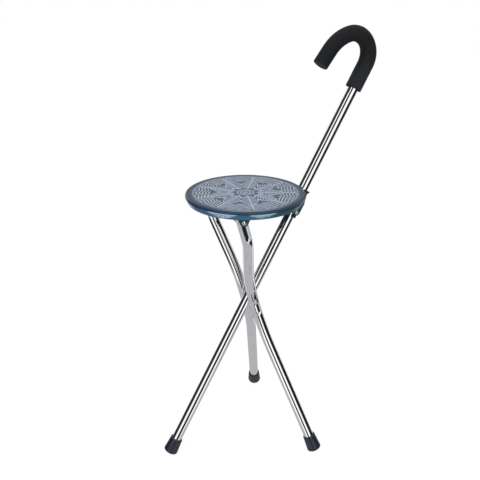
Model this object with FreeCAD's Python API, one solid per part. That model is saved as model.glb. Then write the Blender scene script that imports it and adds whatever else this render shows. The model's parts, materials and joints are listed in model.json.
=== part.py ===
# Folding cane stool: a crook-handled cane, two bent legs and a round plastic seat.
# Working frame: +Z up, the cane leans towards +X, the two legs spread along Y, and the floor is z = 0.
# The cane's centreline meets the floor at the working origin; the finished parts are then moved so
# that the origin lies on the floor under the middle of the whole stool.
import FreeCAD
import Part
import math
import os

Vec = FreeCAD.Vector

# Steel tubes
TUBE_DIAMETER = 19.0
TUBE_WALL = 1.2

# Cane
CANE_LEAN = 29.6             # degrees from upright
HUB_REACH = 358.0            # floor to the hub bolt, along the cane
CROOK_START = 827.0          # floor to where the crook begins to bend, along the cane
CROOK_RADIUS = 35.5          # centreline of the tight bend
CROOK_TURN = 131.0           # degrees of the tight bend
CROOK_TIP_RADIUS = 69.0      # centreline of the open bend that follows it
CROOK_TIP_TURN = 41.0        # degrees of the open bend
CROOK_TAIL = 25.0            # straight end of the crook's tube after its bends
GRIP_TAIL = 45.5             # straight stretch of foam below the bend, on the cane
GRIP_DIAMETER = 29.4
GRIP_END_WALL = 3.0
GRIP_EDGE = 1.6

# Legs
LEG_SPACING = 20.4           # leg centreline to cane centreline at the hub
LOWER_FLARE = 21.84           # degrees
UPPER_FLARE = 24.4           # degrees
HUB_BEND_RADIUS = 200.0      # from the hub upwards
LOWER_BEND_RADIUS = 300.0    # from the hub downwards
LEG_TOP_OFFSET = 68.0        # leg centreline to the middle plane, at the seat
TOP_BEND_RADIUS = 40.0
LEG_ABOVE_PIN = 10.5

# Pressed flats in the legs
PRESS_WIDTH = 12.4
PRESS_DEPTH = 3.0
PRESS_BELOW_PIN = 38.0
HUB_PRESS_DEPTH = 2.0
HUB_PRESS_LENGTH = 56.0

# Rubber feet
FERRULE_TOP_DIAMETER = 23.6
FERRULE_DIAMETER = 28.0
FERRULE_LENGTH = 30.0
FERRULE_SOLE = 6.0
FERRULE_EDGE = 2.5
FERRULE_LIP = 0.8
GROOVE_DEPTH = 1.5
GROOVE_WIDTH = 1.6
GROOVE_RADII = (4.0, 7.8)
FERRULE_WASHER = 1.5

# Hub
HUB_BOLT_DIAMETER = 6.0
HUB_HEAD_DIAMETER = 10.0
HUB_HEAD_HEIGHT = 2.6
HUB_WASHER_DIAMETER = 11.4
HUB_WASHER = 0.8
SPACER_DIAMETER = 14.0
SPACER_THICKNESS = 1.0
HUB_NUT_HEIGHT = 4.2
HUB_THREAD = 2.5             # how far the bolt enters the nut

# Seat
SEAT_HEIGHT = 519.0
SEAT_RADIUS = 105.0
SEAT_EDGE = 3.0
COVER_THICKNESS = 4.0
COVER_SIDE = 5.6
COVER_LIP = 2.6
RIM_WIDTH = 13.0             # raised rim round the panel, chamfer included
PANEL_DROP = 1.0
PANEL_CHAMFER = 0.8
PARTING_GAP = 0.3
BASE_PLATE = 2.0
SKIRT_DEPTH = 13.4
SKIRT_WALL = 2.4
SKIRT_STEP = 0.7
SKIRT_TAPER = 3.6
SKIRT_EDGE = 0.9
RIB_WALL = 2.0
RIB_DROP = 11.8
RIB_RINGS = (18.0, 44.0)
RIB_ANGLES = (0, 28, 60, 92, 168, 192, 268, 300, 332)

# Seat screws
SCREW_INSET = 21.0           # seat edge to the screws, inwards
SCREW_ANGLES = (44, 76, 180, 284, 316)
POST_DIAMETER = 7.0
POST_LENGTH = 4.6
SLEEVE_DIAMETER = 11.4
SLEEVE_FLOOR = 1.6
SCREW_DIAMETER = 3.0
SCREW_HEAD_DIAMETER = 6.4
SCREW_HEAD_HEIGHT = 1.9
SCREW_LENGTH = 5.4

# Seat lugs for the legs
LUG_REACH = 43.4             # seat centre to the leg pins, towards the feet of the cane
LUG_DROP = 21.6              # seat top to the leg pins
LUG_WALL = 4.0
LUG_RADIUS = 7.6
LUG_ROOT = 34.0
LEG_RIVET_DIAMETER = 5.0
LEG_RIVET_HEAD = 9.6
LEG_RIVET_HEAD_HEIGHT = 2.0
LEG_WASHER_DIAMETER = 10.6
LEG_WASHER = 1.0

# Seat ears for the guide on the cane
EAR_INSET = 7.5              # seat edge to the guide pivot, inwards
EAR_DROP = 49.6              # seat top to the guide pivot
EAR_GAP = 13.3               # middle plane to an ear's inner face
EAR_WALL = 4.0
EAR_RADIUS = 6.2
EAR_OVERHANG = 9.8           # ear's furthest point past the rim
EAR_BACK = 26.0              # ear's root, from the rim inwards
EAR_TOE = 35.0               # degrees below level, where the round end meets the front edge
EAR_BULGE_LOW = 13.0         # pivot to the front edge's lower corner, upwards
EAR_BULGE_HIGH = 25.0        # pivot to its furthest corner, upwards
EAR_BULGE_TOP = 35.0         # pivot to its upper corner, upwards
EAR_LOW_SETBACK = 2.4
EAR_TOP_SETBACK = 1.6
EAR_NECK = 2.0               # ear past the rim, where it goes under the cover

# Guide on the cane
GUIDE_PLAY = 0.4
GUIDE_WALL = 2.6
GUIDE_BELOW_PIVOT = 12.0
GUIDE_ABOVE_PIVOT = 43.0
GUIDE_FLANGE = 2.2
GUIDE_FLANGE_THICKNESS = 2.4
GUIDE_SKIRT = 3.0            # how far the side walls pass the cane's centreline
CHEEK_RADIUS = 6.0
GUIDE_RIVET_DIAMETER = 4.0
GUIDE_RIVET_HEAD = 8.0
GUIDE_RIVET_HEAD_HEIGHT = 1.9

# Tube plugs
PLUG_CAP = 1.2
PLUG_DEPTH = 5.0
HANDLE_PLUG_DEPTH = 9.0

# Clearances
FIT = 0.05                   # shaft in a bore, radial
SEAT_FIT = 0.05              # rubber or plastic pushed over or into a tube, radial
PLAY = 0.3                   # between faces that turn past each other
OVERRUN = 1.0                # how far a cutting shape runs past the face it cuts
PICK = 0.01                  # how near an edge lies to the place where it is looked for

# Places worked out from the sizes above
tube_r = TUBE_DIAMETER / 2
bore_r = tube_r - TUBE_WALL
lean = math.radians(CANE_LEAN)
cane_dir = Vec(math.sin(lean), 0, math.cos(lean))
cane_side = Vec(math.cos(lean), 0, -math.sin(lean))
hub = cane_dir * HUB_REACH
guide_pivot = cane_dir * ((SEAT_HEIGHT - EAR_DROP) / cane_dir.z)
seat_x = guide_pivot.x - SEAT_RADIUS + EAR_INSET
panel_r = SEAT_RADIUS - RIM_WIDTH
screw_circle = SEAT_RADIUS - SCREW_INSET
leg_pin = Vec(seat_x - LUG_REACH, 0, SEAT_HEIGHT - LUG_DROP)
leg_up = (leg_pin - hub).normalize()
leg_across = Vec(leg_up.z, 0, -leg_up.x)
pin_reach = (leg_pin - hub).Length
hub_flat = LEG_SPACING + tube_r - HUB_PRESS_DEPTH
pin_flat = LEG_TOP_OFFSET + tube_r - PRESS_DEPTH
front, rear = -1, 1


def save(shape, node):
    """Write one sub-part, moved from the working frame to the stool's own origin."""
    placed = shape.copy()
    placed.translate(Vec(origin_shift, 0, 0))
    placed.exportStep("parts/%s.step" % node)


def turned(shape, base, direction):
    """Move a shape built on the Z axis so that it stands at base and points along direction."""
    placed = shape.copy()
    placed.Placement = FreeCAD.Placement(base, FreeCAD.Rotation(Vec(0, 0, 1), direction))
    return placed


def rod(radius, start, direction, length):
    return Part.makeCylinder(radius, length, start, direction)


def revolve(points):
    """Turn a closed outline of (radius, height) points about the Z axis."""
    outline = Part.makePolygon([Vec(r, 0, z) for r, z in points + points[:1]])
    return Part.Face(outline).revolve(Vec(0, 0, 0), Vec(0, 0, 1), 360)


def arc(start, middle, end):
    return Part.Arc(start, middle, end).toShape()


def sweep(path, radius):
    """A round bar along a wire of straight runs and tangent arcs."""
    start = path.Edges[0]
    tangent = start.tangentAt(start.FirstParameter)
    circle = Part.Wire(Part.makeCircle(radius, start.valueAt(start.FirstParameter), tangent))
    return Part.Wire(path.Edges).makePipeShell([circle], True, False)


def dome(radius, height):
    """A low round head on the plane z = 0."""
    ball = (radius ** 2 + height ** 2) / (2 * height)
    cap = Part.makeSphere(ball, Vec(0, 0, height - ball))
    return cap.common(Part.makeCylinder(radius, height))


# Cane and crook

def crook_out(turn):
    """Direction from the crook's inside to its outside, after a turn in degrees."""
    angle = math.radians(turn)
    return cane_side * math.cos(angle) + cane_dir * math.sin(angle)


def crook_end():
    """Where the crook's last bend ends, and the direction that its tail then takes."""
    tight_centre = cane_dir * CROOK_START - cane_side * CROOK_RADIUS
    open_centre = tight_centre + crook_out(CROOK_TURN) * (CROOK_RADIUS - CROOK_TIP_RADIUS)
    whole = CROOK_TURN + CROOK_TIP_TURN
    return open_centre + crook_out(whole) * CROOK_TIP_RADIUS, crook_out(whole + 90)


def cane_path(start, tail):
    """The cane's centreline from a reach along the cane, round the crook, to its tail."""
    tight_centre = cane_dir * CROOK_START - cane_side * CROOK_RADIUS
    open_centre = tight_centre + crook_out(CROOK_TURN) * (CROOK_RADIUS - CROOK_TIP_RADIUS)
    begin = cane_dir * CROOK_START
    change = tight_centre + crook_out(CROOK_TURN) * CROOK_RADIUS
    half_tight = tight_centre + crook_out(CROOK_TURN / 2) * CROOK_RADIUS
    half_open = open_centre + crook_out(CROOK_TURN + CROOK_TIP_TURN / 2) * CROOK_TIP_RADIUS
    end, heading = crook_end()
    runs = [Part.makeLine(cane_dir * start, begin), arc(begin, half_tight, change)]
    runs.append(arc(change, half_open, end))
    runs.append(Part.makeLine(end, end + heading * tail))
    return Part.Wire(runs)


def make_cane_tube():
    start = ferrule_seat(cane_dir)
    tube = sweep(cane_path(start, CROOK_TAIL), tube_r)
    core = sweep(cane_path(start - OVERRUN, CROOK_TAIL + OVERRUN), bore_r)
    tube = tube.cut(core)
    across = Vec(0, TUBE_DIAMETER, 0)
    hole = rod(HUB_BOLT_DIAMETER / 2 + FIT, hub - across, Vec(0, 1, 0), 2 * TUBE_DIAMETER)
    return tube.cut(hole)


def make_handle_grip():
    start = CROOK_START - GRIP_TAIL
    tail = CROOK_TAIL + GRIP_END_WALL + PLUG_CAP
    end, heading = crook_end()
    foam = sweep(cane_path(start, tail), GRIP_DIAMETER / 2)
    ends = (cane_dir * start, end + heading * tail)
    rims = [edge for edge in foam.Edges if is_circle_about(edge, ends)]
    foam = foam.makeFillet(GRIP_EDGE, rims)
    core = sweep(cane_path(start - OVERRUN, CROOK_TAIL + PLUG_CAP), tube_r + SEAT_FIT)
    return foam.cut(core)


def is_circle_about(edge, centres):
    """True for a circular edge whose middle is one of the centres."""
    if not isinstance(edge.Curve, Part.Circle):
        return False
    return min(edge.Curve.Center.distanceToPoint(centre) for centre in centres) < PICK


def make_handle_end_plug():
    bend_end, heading = crook_end()
    end = bend_end + heading * CROOK_TAIL
    cap = rod(tube_r, end, heading, PLUG_CAP)
    return cap.fuse(rod(bore_r - SEAT_FIT, end, heading * -1, HANDLE_PLUG_DEPTH))


# Rubber feet

def sole_rise(direction):
    """Reach along a tilted centreline, from the floor to the middle of a sole that touches the floor."""
    tilt = math.sqrt(1 - direction.z ** 2)
    taper = math.atan2((FERRULE_DIAMETER - FERRULE_TOP_DIAMETER) / 2, FERRULE_LENGTH)
    edge_r = FERRULE_DIAMETER / 2 - FERRULE_EDGE * (math.tan(taper) + 1 / math.cos(taper))
    return (FERRULE_EDGE + edge_r * tilt) / direction.z - FERRULE_EDGE


def ferrule_seat(direction):
    """Reach from the floor to the end of the tube inside its rubber foot."""
    return sole_rise(direction) + FERRULE_SOLE + FERRULE_WASHER


def make_ferrule(floor_point, direction):
    bottom_r = FERRULE_DIAMETER / 2
    top_r = FERRULE_TOP_DIAMETER / 2
    body = Part.makeCone(bottom_r, top_r, FERRULE_LENGTH)
    sole = [edge for edge in body.Edges if edge.BoundBox.ZMax < PICK]
    body = body.makeFillet(FERRULE_EDGE, sole)
    body = body.cut(Part.makeCylinder(tube_r + SEAT_FIT, FERRULE_LENGTH, Vec(0, 0, FERRULE_SOLE)))
    lip = [edge for edge in body.Edges if edge.BoundBox.ZMin > FERRULE_LENGTH - PICK]
    outer = [edge for edge in lip if edge.BoundBox.XMax > top_r - PICK]
    body = body.makeFillet(FERRULE_LIP, outer)
    for radius in GROOVE_RADII:
        ring = Part.makeCylinder(radius + GROOVE_WIDTH / 2, GROOVE_DEPTH)
        ring = ring.cut(Part.makeCylinder(radius - GROOVE_WIDTH / 2, GROOVE_DEPTH))
        body = body.cut(ring)
    return turned(body, floor_point + direction * sole_rise(direction), direction)


def make_ferrule_washer(floor_point, direction):
    disc = Part.makeCylinder(tube_r, FERRULE_WASHER)
    return turned(disc, floor_point + direction * (sole_rise(direction) + FERRULE_SOLE), direction)


# Hub

def make_hub_bolt():
    """Bolt through the three tubes, its round head on the front leg."""
    seat = hub_flat + PLAY + HUB_WASHER
    start = hub - Vec(0, seat, 0)
    shank = rod(HUB_BOLT_DIAMETER / 2, start, Vec(0, 1, 0), 2 * seat + HUB_THREAD)
    head = dome(HUB_HEAD_DIAMETER / 2, HUB_HEAD_HEIGHT)
    return shank.fuse(turned(head, start, Vec(0, -1, 0)))


def make_hub_nut():
    """Round-headed nut on the rear leg."""
    seat = hub_flat + PLAY + HUB_WASHER
    body = dome(HUB_HEAD_DIAMETER / 2, HUB_NUT_HEIGHT)
    body = body.cut(Part.makeCylinder(HUB_BOLT_DIAMETER / 2, HUB_THREAD))
    return turned(body, hub + Vec(0, seat, 0), Vec(0, 1, 0))


def washer(centre, outer_diameter, hole_diameter, thickness):
    """A flat ring square to Y, from centre towards +Y."""
    ring = rod(outer_diameter / 2, centre, Vec(0, 1, 0), thickness)
    return ring.cut(rod(hole_diameter / 2 + FIT, centre, Vec(0, 1, 0), thickness))


def make_hub_washers():
    start = hub_flat + PLAY
    pair = []
    for near in (-start - HUB_WASHER, start):
        pair.append(washer(hub + Vec(0, near, 0), HUB_WASHER_DIAMETER, HUB_BOLT_DIAMETER, HUB_WASHER))
    return Part.makeCompound(pair)


def make_hub_spacer(side):
    near = tube_r + FIT
    start = near if side > 0 else -near - SPACER_THICKNESS
    return washer(hub + Vec(0, start, 0), SPACER_DIAMETER, HUB_BOLT_DIAMETER, SPACER_THICKNESS)


# Legs

def leg_point(along, out, side):
    """A point of a leg's plane: along the leg from the hub, and out from the middle plane."""
    return hub + leg_up * along + Vec(0, side * out, 0)


def leg_foot(side):
    """Direction of the lower leg, upwards, and the point where its centreline meets the floor."""
    flare = math.radians(LOWER_FLARE)
    direction = leg_up * math.cos(flare) - Vec(0, side * math.sin(flare), 0)
    bend_out = LEG_SPACING + LOWER_BEND_RADIUS * (1 - math.cos(flare))
    bend = leg_point(-LOWER_BEND_RADIUS * math.sin(flare), bend_out, side)
    return direction, bend - direction * (bend.z / direction.z), bend


def hub_bend(side, radius, flare):
    """An arc of a leg from the hub; a negative radius bends downwards."""
    half = flare / 2
    middle_out = LEG_SPACING + abs(radius) * (1 - math.cos(half))
    end_out = LEG_SPACING + abs(radius) * (1 - math.cos(flare))
    middle = leg_point(radius * math.sin(half), middle_out, side)
    end = leg_point(radius * math.sin(flare), end_out, side)
    hub_point = leg_point(0, LEG_SPACING, side)
    return arc(hub_point, middle, end) if radius > 0 else arc(end, middle, hub_point)


def leg_path(side, start, top):
    """The leg's centreline from a reach above the floor to a height along the leg."""
    direction, floor_point, low = leg_foot(side)
    flare = math.radians(UPPER_FLARE)
    high_out = LEG_SPACING + HUB_BEND_RADIUS * (1 - math.cos(flare))
    high = leg_point(HUB_BEND_RADIUS * math.sin(flare), high_out, side)
    corner = HUB_BEND_RADIUS * math.sin(flare) + (LEG_TOP_OFFSET - high_out) / math.tan(flare)
    tangent = TOP_BEND_RADIUS * math.tan(flare / 2)
    entry_out = LEG_TOP_OFFSET - tangent * math.sin(flare)
    entry = leg_point(corner - tangent * math.cos(flare), entry_out, side)
    leave = leg_point(corner + tangent, LEG_TOP_OFFSET, side)
    turn_centre = leg_point(corner + tangent, LEG_TOP_OFFSET - TOP_BEND_RADIUS, side)
    outward = Vec(0, side, 0) * math.cos(flare / 2) - leg_up * math.sin(flare / 2)
    runs = [Part.makeLine(floor_point + direction * start, low)]
    runs.append(hub_bend(side, -LOWER_BEND_RADIUS, math.radians(LOWER_FLARE)))
    runs.append(hub_bend(side, HUB_BEND_RADIUS, flare))
    runs.append(Part.makeLine(high, entry))
    runs.append(arc(entry, turn_centre + outward * TOP_BEND_RADIUS, leave))
    runs.append(Part.makeLine(leave, leg_point(top, LEG_TOP_OFFSET, side)))
    return Part.Wire(runs)


def slot_block(side, low, high, width, near):
    """A round-ended block on a leg's outer side, from near outwards."""
    r = width / 2
    depth = TUBE_DIAMETER
    a, b = low + r, high - r
    left = leg_point(a, near, side) - leg_across * r
    corners = [left, left + leg_across * width]
    corners.append(corners[1] + leg_up * (b - a))
    corners.append(left + leg_up * (b - a))
    out = Vec(0, side * depth, 0)
    block = Part.Face(Part.makePolygon(corners + corners[:1])).extrude(out)
    for end in (a, b):
        block = block.fuse(rod(r, leg_point(end, near, side), Vec(0, side, 0), depth))
    return block.removeSplitter()


def leg_flats(side, grow):
    """The two pressed flats of a leg, as cutting shapes; grow makes them wider and deeper."""
    width = PRESS_WIDTH + 2 * grow
    low = pin_reach - PRESS_BELOW_PIN - grow
    high = pin_reach + LEG_ABOVE_PIN + TUBE_DIAMETER
    top = slot_block(side, low, high, width, pin_flat - grow)
    half = HUB_PRESS_LENGTH / 2 + grow
    reach = HUB_BEND_RADIUS - tube_r + HUB_PRESS_DEPTH + grow
    block = slot_block(side, -half, half, width, LEG_SPACING)
    centre = leg_point(0, LEG_SPACING + HUB_BEND_RADIUS, side) - leg_across * TUBE_DIAMETER
    middle = block.common(rod(reach, centre, leg_across, 2 * TUBE_DIAMETER))
    return [top, middle]


def make_leg_core(side, start, top):
    """The hollow inside a leg, drawn in where the tube is pressed flat."""
    core = sweep(leg_path(side, start, top), bore_r)
    for flat in leg_flats(side, TUBE_WALL):
        core = core.cut(flat)
    return core


def make_leg_tube(side):
    direction = leg_foot(side)[0]
    start = ferrule_seat(direction)
    top = pin_reach + LEG_ABOVE_PIN
    tube = sweep(leg_path(side, start, top), tube_r)
    for flat in leg_flats(side, 0):
        tube = tube.cut(flat)
    tube = tube.cut(make_leg_core(side, start - OVERRUN, top + OVERRUN))
    tube = tube.cut(rod(HUB_BOLT_DIAMETER / 2 + FIT, hub, Vec(0, side, 0), LEG_SPACING + TUBE_DIAMETER))
    start = leg_point(pin_reach, LEG_TOP_OFFSET - TUBE_DIAMETER, side)
    return tube.cut(rod(LEG_RIVET_DIAMETER / 2 + FIT, start, Vec(0, side, 0), 2 * TUBE_DIAMETER))


def make_leg_plug(side):
    """Plastic plug in the open top of a leg, flush with the pressed flat."""
    top = pin_reach + LEG_ABOVE_PIN
    end = leg_point(top, LEG_TOP_OFFSET, side)
    cap = rod(tube_r - SEAT_FIT, end, leg_up, PLUG_CAP)
    stem = rod(bore_r - SEAT_FIT, end, leg_up * -1, PLUG_DEPTH)
    cap = cap.cut(leg_flats(side, 0)[0])
    stem = stem.cut(leg_flats(side, TUBE_WALL + SEAT_FIT)[0])
    return cap.fuse(stem)


# Seat

def seat_turn(points):
    """Turn an outline of (radius, depth below the seat top) about the seat's middle."""
    shape = revolve([(r, SEAT_HEIGHT - depth) for r, depth in points])
    shape.translate(Vec(seat_x, 0, 0))
    return shape


def seat_point(angle, radius, depth):
    turn = math.radians(angle)
    return Vec(seat_x + radius * math.cos(turn), radius * math.sin(turn), SEAT_HEIGHT - depth)


def make_seat_cover():
    r = SEAT_RADIUS
    under = base_top()
    outline = [(0, PANEL_DROP), (panel_r, PANEL_DROP), (panel_r + PANEL_CHAMFER, 0), (r, 0)]
    outline += [(r, COVER_SIDE), (r - COVER_LIP, COVER_SIDE), (r - COVER_LIP, under), (0, under)]
    cover = seat_turn(outline)
    rim = [edge for edge in cover.Edges if edge.BoundBox.ZMin > SEAT_HEIGHT - PICK]
    rim = [edge for edge in rim if edge.BoundBox.XMax > seat_x + r - PICK]
    cover = cover.makeFillet(SEAT_EDGE, rim)
    for angle in SCREW_ANGLES:
        post = rod(POST_DIAMETER / 2, seat_point(angle, screw_circle, under), Vec(0, 0, -1), POST_LENGTH)
        cover = cover.fuse(post)
        cover = cover.cut(screw_shape(angle))
    return cover


def base_top():
    """Depth of the base plate's upper face, under the cover."""
    return PANEL_DROP + COVER_THICKNESS - PANEL_CHAMFER


def make_base_shell():
    """Plate and tapered skirt of the seat base."""
    top = base_top()
    plate = top + BASE_PLATE
    outer = SEAT_RADIUS - SKIRT_STEP
    step = SEAT_RADIUS - COVER_LIP - SEAT_FIT
    skirt_top = COVER_SIDE + PARTING_GAP
    foot = SEAT_RADIUS - SKIRT_TAPER
    outline = [(0, top), (step, top), (step, skirt_top), (outer, skirt_top), (foot, SKIRT_DEPTH)]
    outline += [(foot - SKIRT_WALL, SKIRT_DEPTH), (step - SKIRT_WALL, plate), (0, plate)]
    shell = seat_turn(outline)
    low = SEAT_HEIGHT - SKIRT_DEPTH
    hem = [edge for edge in shell.Edges if edge.BoundBox.ZMax < low + PICK]
    return shell.makeFillet(SKIRT_EDGE, hem)


def make_base_ribs():
    """Ring and spoke ribs under the plate, clear of the two places where the legs fold in."""
    plate = base_top() + BASE_PLATE
    ribs = []
    for radius in RIB_RINGS:
        ring = [(radius, plate - FIT), (radius + RIB_WALL, plate - FIT)]
        ring += [(radius + RIB_WALL, RIB_DROP), (radius, RIB_DROP)]
        ribs.append(seat_turn(ring))
    inner = RIB_RINGS[0] + RIB_WALL / 2
    length = SEAT_RADIUS - COVER_LIP - SKIRT_WALL - inner
    for angle in RIB_ANGLES:
        corner = Vec(inner, -RIB_WALL / 2, SEAT_HEIGHT - RIB_DROP)
        spoke = Part.makeBox(length, RIB_WALL, RIB_DROP - plate, corner)
        spoke.rotate(Vec(0, 0, 0), Vec(0, 0, 1), angle)
        spoke.translate(Vec(seat_x, 0, 0))
        ribs.append(spoke)
    return ribs


def plate_in_xz(points, start, thickness):
    """A flat plate: an outline in the XZ plane, from y = start towards +Y."""
    corners = [Vec(x, start, z) for x, z in points]
    return Part.Face(Part.makePolygon(corners + corners[:1])).extrude(Vec(0, thickness, 0))


def make_lug(start):
    """One lug that holds a leg pin, from y = start towards +Y."""
    root_z = SEAT_HEIGHT - base_top() - BASE_PLATE
    half = LUG_ROOT / 2
    x, z = leg_pin.x, leg_pin.z
    reach = math.hypot(half, root_z - z)
    swing = math.atan2(root_z - z, half) - math.acos(LUG_RADIUS / reach)
    dx, dz = LUG_RADIUS * math.cos(swing), LUG_RADIUS * math.sin(swing)
    over = root_z + BASE_PLATE / 2
    web = [(x - half, over), (x - half, root_z), (x - dx, z + dz), (x + dx, z + dz)]
    web += [(x + half, root_z), (x + half, over)]
    lug = plate_in_xz(web, start, LUG_WALL)
    return lug.fuse(rod(LUG_RADIUS, Vec(x, start, z), Vec(0, 1, 0), LUG_WALL))


def make_ear(start):
    """One ear that holds the guide pivot, from y = start towards +Y."""
    root_z = SEAT_HEIGHT - base_top() - BASE_PLATE / 2
    shelf_z = SEAT_HEIGHT - COVER_SIDE - PARTING_GAP
    rim = seat_x + SEAT_RADIUS
    far = rim + EAR_OVERHANG
    x, z, r = guide_pivot.x, guide_pivot.z, EAR_RADIUS
    toe = math.radians(EAR_TOE)
    cover_inside = SEAT_RADIUS - COVER_LIP
    root_x = seat_x + math.sqrt(cover_inside ** 2 - (EAR_GAP + EAR_WALL) ** 2) - PLAY
    web = [(rim - EAR_BACK, root_z), (rim - EAR_BACK, SEAT_HEIGHT - SKIRT_DEPTH), (x - r, z), (x, z - r)]
    web.append((x + r * math.cos(toe), z - r * math.sin(toe)))
    web.append((far - EAR_LOW_SETBACK, z + EAR_BULGE_LOW))
    web.append((far, z + EAR_BULGE_HIGH))
    web.append((far - EAR_TOP_SETBACK, z + EAR_BULGE_TOP))
    web += [(rim + EAR_NECK, shelf_z), (root_x, shelf_z), (root_x, root_z)]
    ear = plate_in_xz(web, start, EAR_WALL)
    return ear.fuse(rod(r, Vec(x, start, z), Vec(0, 1, 0), EAR_WALL))


def lug_faces():
    """Distances from the middle plane to the near side of the inner and outer lugs."""
    inner = LEG_TOP_OFFSET - tube_r - PLAY - LEG_WASHER - LUG_WALL
    outer = pin_flat + PLAY + LEG_WASHER
    return inner, outer


def make_seat_base():
    base = make_base_shell()
    extras = make_base_ribs()
    for side in (front, rear):
        for near in lug_faces():
            extras.append(make_lug(near if side > 0 else -near - LUG_WALL))
        extras.append(make_ear(EAR_GAP if side > 0 else -EAR_GAP - EAR_WALL))
    floor = base_top() + POST_LENGTH + PARTING_GAP
    for angle in SCREW_ANGLES:
        start = seat_point(angle, screw_circle, floor + SLEEVE_FLOOR)
        rise = floor + SLEEVE_FLOOR - base_top() - FIT
        extras.append(rod(SLEEVE_DIAMETER / 2, start, Vec(0, 0, 1), rise))
    base = base.multiFuse(extras)
    holes = []
    for angle in SCREW_ANGLES:
        start = seat_point(angle, screw_circle, floor)
        holes.append(rod(POST_DIAMETER / 2 + FIT, start, Vec(0, 0, 1), floor))
        start = seat_point(angle, screw_circle, floor + SLEEVE_FLOOR + OVERRUN)
        holes.append(rod(SCREW_DIAMETER / 2 + FIT, start, Vec(0, 0, 1), floor))
    across = Vec(0, 2 * SEAT_RADIUS, 0)
    holes.append(rod(LEG_RIVET_DIAMETER / 2 + FIT, leg_pin - across / 2, Vec(0, 1, 0), across.y))
    holes.append(rod(GUIDE_RIVET_DIAMETER / 2 + FIT, guide_pivot - across / 2, Vec(0, 1, 0), across.y))
    return base.cut(Part.makeCompound(holes)).removeSplitter()


def screw_shape(angle):
    """A pan-headed screw that enters the seat from below."""
    under = base_top() + POST_LENGTH + PARTING_GAP + SLEEVE_FLOOR
    start = seat_point(angle, screw_circle, under)
    head = turned(dome(SCREW_HEAD_DIAMETER / 2, SCREW_HEAD_HEIGHT), start, Vec(0, 0, -1))
    return head.fuse(rod(SCREW_DIAMETER / 2, start, Vec(0, 0, 1), SCREW_LENGTH))


def make_seat_screws():
    return Part.makeCompound([screw_shape(angle) for angle in SCREW_ANGLES])


def make_leg_rivet(side):
    """Pin through both lugs and the leg's top, with a round head at each end."""
    inner, outer = lug_faces()
    start, end = inner, outer + LUG_WALL
    pin = rod(LEG_RIVET_DIAMETER / 2, leg_pin + Vec(0, side * start, 0), Vec(0, side, 0), end - start)
    head = dome(LEG_RIVET_HEAD / 2, LEG_RIVET_HEAD_HEIGHT)
    pin = pin.fuse(turned(head, leg_pin + Vec(0, side * end, 0), Vec(0, side, 0)))
    return pin.fuse(turned(head, leg_pin + Vec(0, side * start, 0), Vec(0, -side, 0)))


def make_leg_washers(side):
    inner, outer = lug_faces()
    rings = []
    for near in (inner + LUG_WALL, outer - LEG_WASHER):
        start = near if side > 0 else -near - LEG_WASHER
        rings.append(washer(leg_pin + Vec(0, start, 0), LEG_WASHER_DIAMETER, LEG_RIVET_DIAMETER, LEG_WASHER))
    return Part.makeCompound(rings)


# Guide

def make_cane_guide():
    """Plastic half sleeve that slides on the outer side of the cane."""
    inner = tube_r + GUIDE_PLAY
    outer = inner + GUIDE_WALL
    low = -GUIDE_BELOW_PIVOT
    length = GUIDE_BELOW_PIVOT + GUIDE_ABOVE_PIVOT
    shell = Part.makeCylinder(outer, length, Vec(0, 0, low))
    flange_r = outer + GUIDE_FLANGE
    flange_low = GUIDE_ABOVE_PIVOT - GUIDE_FLANGE_THICKNESS
    flange = Part.makeCone(outer, flange_r, GUIDE_FLANGE, Vec(0, 0, flange_low - GUIDE_FLANGE))
    flange = flange.fuse(Part.makeCylinder(flange_r, GUIDE_FLANGE_THICKNESS, Vec(0, 0, flange_low)))
    between_ears = Part.makeBox(2 * flange_r, 2 * EAR_GAP, length, Vec(0, -EAR_GAP, low))
    flange = flange.common(between_ears)
    shell = shell.fuse(flange)
    keep = Part.makeBox(2 * flange_r, 2 * flange_r, length, Vec(0, -flange_r, low))
    shell = shell.common(keep)
    for side in (front, rear):
        near = inner if side > 0 else -outer
        wall = Part.makeBox(GUIDE_SKIRT, GUIDE_WALL, length, Vec(-GUIDE_SKIRT, near, low))
        cheek = rod(CHEEK_RADIUS, Vec(0, side * inner, 0), Vec(0, side, 0), GUIDE_WALL)
        shell = shell.fuse(wall).fuse(cheek)
    bore = Part.makeCylinder(inner, 3 * length, Vec(0, 0, -length))
    slot = Part.makeBox(2 * inner, 2 * inner, 3 * length, Vec(-2 * inner, -inner, -length))
    shell = shell.cut(bore).cut(slot)
    shell = shell.cut(rod(GUIDE_RIVET_DIAMETER / 2 + FIT, Vec(0, -outer, 0), Vec(0, 1, 0), 2 * outer))
    placed = shell.removeSplitter()
    placed.Placement = FreeCAD.Placement(guide_pivot, FreeCAD.Rotation(Vec(0, 1, 0), CANE_LEAN))
    return placed


def make_guide_rivets():
    """Two short pins from the ears into the guide's cheeks."""
    inner = tube_r + GUIDE_PLAY
    far = EAR_GAP + EAR_WALL
    pins = []
    for side in (front, rear):
        start = guide_pivot + Vec(0, side * inner, 0)
        pin = rod(GUIDE_RIVET_DIAMETER / 2, start, Vec(0, side, 0), far - inner)
        head = dome(GUIDE_RIVET_HEAD / 2, GUIDE_RIVET_HEAD_HEIGHT)
        pins.append(pin.fuse(turned(head, guide_pivot + Vec(0, side * far, 0), Vec(0, side, 0))))
    return Part.makeCompound(pins)


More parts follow.
